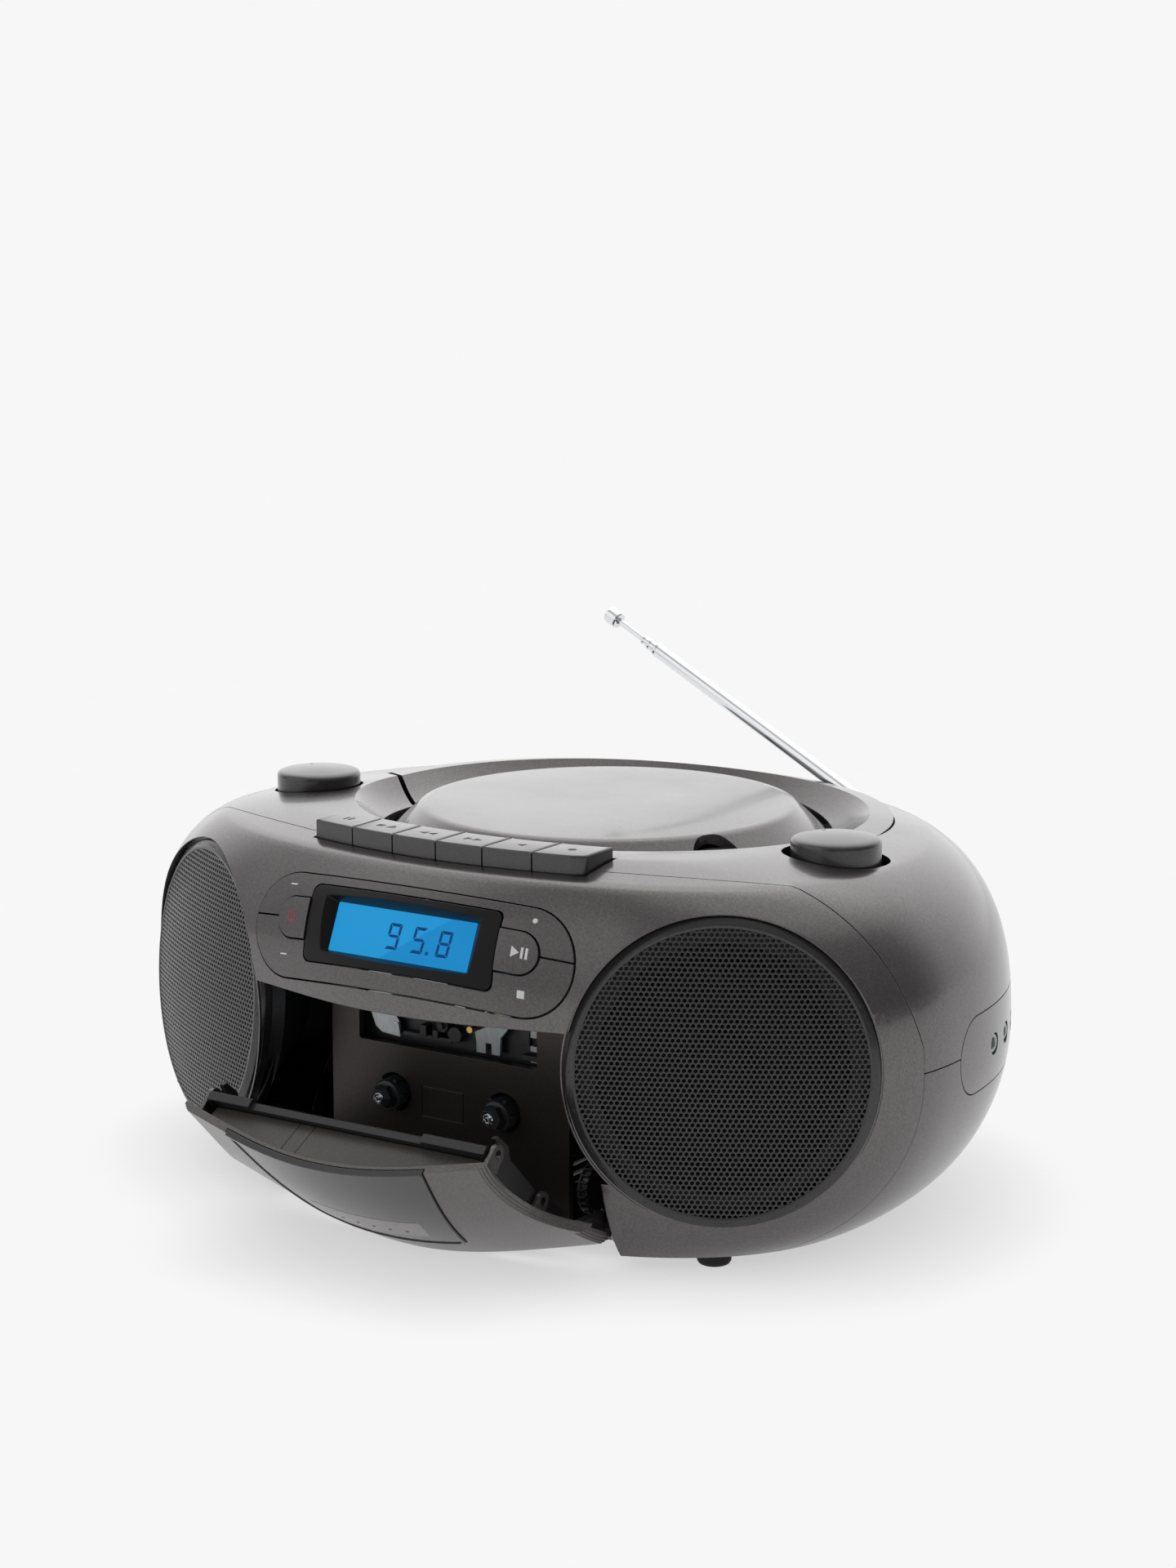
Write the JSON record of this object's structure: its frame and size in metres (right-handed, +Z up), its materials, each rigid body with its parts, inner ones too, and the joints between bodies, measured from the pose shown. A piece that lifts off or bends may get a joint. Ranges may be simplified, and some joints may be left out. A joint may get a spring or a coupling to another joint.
{
  "type": "portable cassette and disc player",
  "caption": "Rounded portable audio player with an open cassette door, top disc lid, piano keys, round speaker grilles, folding carry handle and telescopic antenna.",
  "frame": {"origin": "middle of the width and of the depth of the whole player with its door open, on the plane the feet stand on", "axes": "+X to the right seen from the front, +Y to the rear, +Z up; the cassette door faces -Y"},
  "size_m": [0.2974, 0.262, 0.1729],
  "materials": {
    "gunmetal": "satin metallic lacquer, dark warm grey",
    "charcoal": "semi-gloss",
    "black": "fine grain",
    "gloss_black": "polished",
    "mesh_black": "satin powder coat on perforated steel",
    "paper": "pressed paper",
    "display_blue": "backlit display",
    "steel": "bright zinc plate",
    "chrome": "polished",
    "deck_brown": "satin",
    "rubber": "matte",
    "board_green": "varnished",
    "brass": "turned"
  },
  "bodies": {
    "cabinet": {"front_fascia": "gunmetal", "top_cabinet": "gunmetal", "bottom_cabinet": "gunmetal", "jack_panel": "gunmetal", "speaker_grille_left": "mesh_black", "speaker_cone_left": "paper", "speaker_frame_left": "black", "speaker_grille_right": "mesh_black", "speaker_cone_right": "paper", "speaker_frame_right": "black", "display_bezel": "gloss_black", "display_panel": "display_blue", "key_shaft": "steel", "disc_tray": "black", "disc_motor": "steel", "deck_plate": "deck_brown", "tape_motor": "steel", "drive_belt": "rubber", "circuit_board": "board_green", "power_transformer": "steel", "mains_inlet": "black", "foot_front_left": "rubber", "foot_front_right": "rubber", "foot_rear_left": "rubber", "foot_rear_right": "rubber"},
    "battery_cover": {"battery_door": "gunmetal"},
    "upper_rocker": {"upper_rocker": "gunmetal"},
    "lower_rocker": {"lower_rocker": "gunmetal"},
    "mode_button": {"mode_button": "gunmetal"},
    "play_button": {"play_button": "gunmetal"},
    "key_pause": {"key_pause": "charcoal"},
    "key_stop": {"key_stop": "charcoal"},
    "key_rewind": {"key_rewind": "charcoal"},
    "key_forward": {"key_forward": "charcoal"},
    "key_play": {"key_play": "charcoal"},
    "key_record": {"key_record": "charcoal"},
    "volume_knob": {"volume_knob": "charcoal"},
    "tuning_knob": {"tuning_knob": "charcoal"},
    "carry_handle": {"carry_handle": "gunmetal"},
    "disc_lid": {"disc_lid": "gunmetal"},
    "disc_clamp": {"disc_clamp": "black"},
    "disc_hub": {"disc_hub": "black"},
    "optical_pickup": {"optical_pickup": "black"},
    "reel_left": {"reel_left": "black"},
    "reel_right": {"reel_right": "black"},
    "head_carriage": {"head_bridge": "steel", "tape_head": "steel"},
    "pinch_roller": {"pinch_roller": "rubber"},
    "capstan_flywheel": {"capstan_flywheel": "brass"},
    "motor_pulley": {"motor_pulley": "brass"},
    "damper_gear": {"damper_gear": "black"},
    "cassette_door": {"cassette_door": "gunmetal", "door_window": "gloss_black", "cassette_holder": "black"},
    "antenna_swivel": {"antenna_swivel": "chrome"},
    "antenna_base": {"antenna_base": "chrome"},
    "antenna_middle": {"antenna_middle": "chrome"},
    "antenna_inner": {"antenna_inner": "chrome"},
    "antenna_tip": {"antenna_tip": "chrome"}
  },
  "joints": [
    {"name": "door_hinge", "type": "hinge", "parent": "cabinet", "child": "cassette_door", "pos_m": [0, -0.0677, 0.014], "axis": [1, 0, 0], "range_deg": [-45, 0]},
    {"name": "damper_spin", "type": "hinge", "parent": "cabinet", "child": "damper_gear", "pos_m": [0.0565, -0.0637, 0.024], "axis": [1, 0, 0], "range_deg": [0, 120]},
    {"name": "handle_hinge", "type": "hinge", "parent": "cabinet", "child": "carry_handle", "pos_m": [0, 0.0403, 0.1165], "axis": [1, 0, 0], "range_deg": [0, 90]},
    {"name": "lid_hinge", "type": "hinge", "parent": "cabinet", "child": "disc_lid", "pos_m": [0, 0.0953, 0.114], "axis": [1, 0, 0], "range_deg": [-50, 0]},
    {"name": "clamp_spin", "type": "hinge", "parent": "disc_lid", "child": "disc_clamp", "pos_m": [0, 0.0303, 0.116], "axis": [0, 0, 1], "continuous": true},
    {"name": "hub_spin", "type": "hinge", "parent": "cabinet", "child": "disc_hub", "pos_m": [0, 0.0303, 0.103], "axis": [0, 0, 1], "continuous": true},
    {"name": "pickup_slide", "type": "slide", "parent": "cabinet", "child": "optical_pickup", "axis": [0, 1, 0], "range_m": [-0.0055, 0.0085]},
    {"name": "volume_turn", "type": "hinge", "parent": "cabinet", "child": "volume_knob", "pos_m": [-0.102, 0.004, 0.118], "axis": [0, 0, 1], "range_deg": [-150, 150]},
    {"name": "tuning_turn", "type": "hinge", "parent": "cabinet", "child": "tuning_knob", "pos_m": [0.102, 0.004, 0.118], "axis": [0, 0, 1], "range_deg": [-150, 150]},
    {"name": "key_pause_press", "type": "hinge", "parent": "cabinet", "child": "key_pause", "pos_m": [-0.043, -0.0497, 0.1175], "axis": [1, 0, 0], "range_deg": [0, 10]},
    {"name": "key_stop_press", "type": "hinge", "parent": "cabinet", "child": "key_stop", "pos_m": [-0.0258, -0.0497, 0.1175], "axis": [1, 0, 0], "range_deg": [0, 10]},
    {"name": "key_rewind_press", "type": "hinge", "parent": "cabinet", "child": "key_rewind", "pos_m": [-0.0086, -0.0497, 0.1175], "axis": [1, 0, 0], "range_deg": [0, 10]},
    {"name": "key_forward_press", "type": "hinge", "parent": "cabinet", "child": "key_forward", "pos_m": [0.0086, -0.0497, 0.1175], "axis": [1, 0, 0], "range_deg": [0, 10]},
    {"name": "key_play_press", "type": "hinge", "parent": "cabinet", "child": "key_play", "pos_m": [0.0258, -0.0497, 0.1175], "axis": [1, 0, 0], "range_deg": [0, 10]},
    {"name": "key_record_press", "type": "hinge", "parent": "cabinet", "child": "key_record", "pos_m": [0.043, -0.0497, 0.1175], "axis": [1, 0, 0], "range_deg": [0, 10]},
    {"name": "upper_rock", "type": "hinge", "parent": "cabinet", "child": "upper_rocker", "pos_m": [0, -0.0872, 0.1009], "axis": [0, 0.4019, 0.9157], "range_deg": [-0.8, 0.8]},
    {"name": "lower_rock", "type": "hinge", "parent": "cabinet", "child": "lower_rocker", "pos_m": [0, -0.0872, 0.1009], "axis": [0, 0.4019, 0.9157], "range_deg": [-0.8, 0.8]},
    {"name": "mode_press", "type": "slide", "parent": "cabinet", "child": "mode_button", "axis": [0, 0.9157, -0.4019], "range_m": [0, 0.001]},
    {"name": "play_press", "type": "slide", "parent": "cabinet", "child": "play_button", "axis": [0, 0.9157, -0.4019], "range_m": [0, 0.001]},
    {"name": "antenna_turn", "type": "hinge", "parent": "cabinet", "child": "antenna_swivel", "pos_m": [0.076, 0.1103, 0.0977], "axis": [0, 0, 1], "range_deg": [-180, 0]},
    {"name": "antenna_tilt", "type": "hinge", "parent": "antenna_swivel", "child": "antenna_base", "pos_m": [0.076, 0.1103, 0.1027], "axis": [0.1219, 0.9925, 0], "range_deg": [0, 64]},
    {"name": "antenna_draw_middle", "type": "slide", "parent": "antenna_base", "child": "antenna_middle", "axis": [-0.8929, 0.1096, 0.4368], "range_m": [-0.004, 0.095]},
    {"name": "antenna_draw_inner", "type": "slide", "parent": "antenna_middle", "child": "antenna_inner", "axis": [-0.8929, 0.1096, 0.4368], "range_m": [-0.003, 0.095]},
    {"name": "antenna_draw_tip", "type": "slide", "parent": "antenna_inner", "child": "antenna_tip", "axis": [-0.8929, 0.1096, 0.4368], "range_m": [-0.009, 0.09]},
    {"name": "reel_left_spin", "type": "hinge", "parent": "cabinet", "child": "reel_left", "pos_m": [-0.02125, -0.0637, 0.0417], "axis": [0, 1, 0], "continuous": true},
    {"name": "reel_right_spin", "type": "hinge", "parent": "cabinet", "child": "reel_right", "pos_m": [0.02125, -0.0637, 0.0417], "axis": [0, 1, 0], "continuous": true},
    {"name": "flywheel_spin", "type": "hinge", "parent": "cabinet", "child": "capstan_flywheel", "pos_m": [0.0155, -0.0467, 0.07], "axis": [0, 1, 0], "continuous": true},
    {"name": "pulley_spin", "type": "hinge", "parent": "cabinet", "child": "motor_pulley", "pos_m": [-0.038, -0.0467, 0.03], "axis": [0, 1, 0], "continuous": true},
    {"name": "head_lower", "type": "slide", "parent": "cabinet", "child": "head_carriage", "axis": [0, 0, -1], "range_m": [0, 0.0035]},
    {"name": "roller_spin", "type": "hinge", "parent": "head_carriage", "child": "pinch_roller", "pos_m": [0.0165, -0.0657, 0.0805], "axis": [0, 1, 0], "continuous": true},
    {"name": "battery_hinge", "type": "hinge", "parent": "cabinet", "child": "battery_cover", "pos_m": [0, 0.0993, 0.0052], "axis": [1, 0, 0], "range_deg": [0, 75]}
  ],
  "couplings": [
    {"joint": "pulley_spin", "follows": "flywheel_spin", "ratio": 5.5},
    {"joint": "damper_spin", "follows": "door_hinge", "ratio": -2.5}
  ]
}
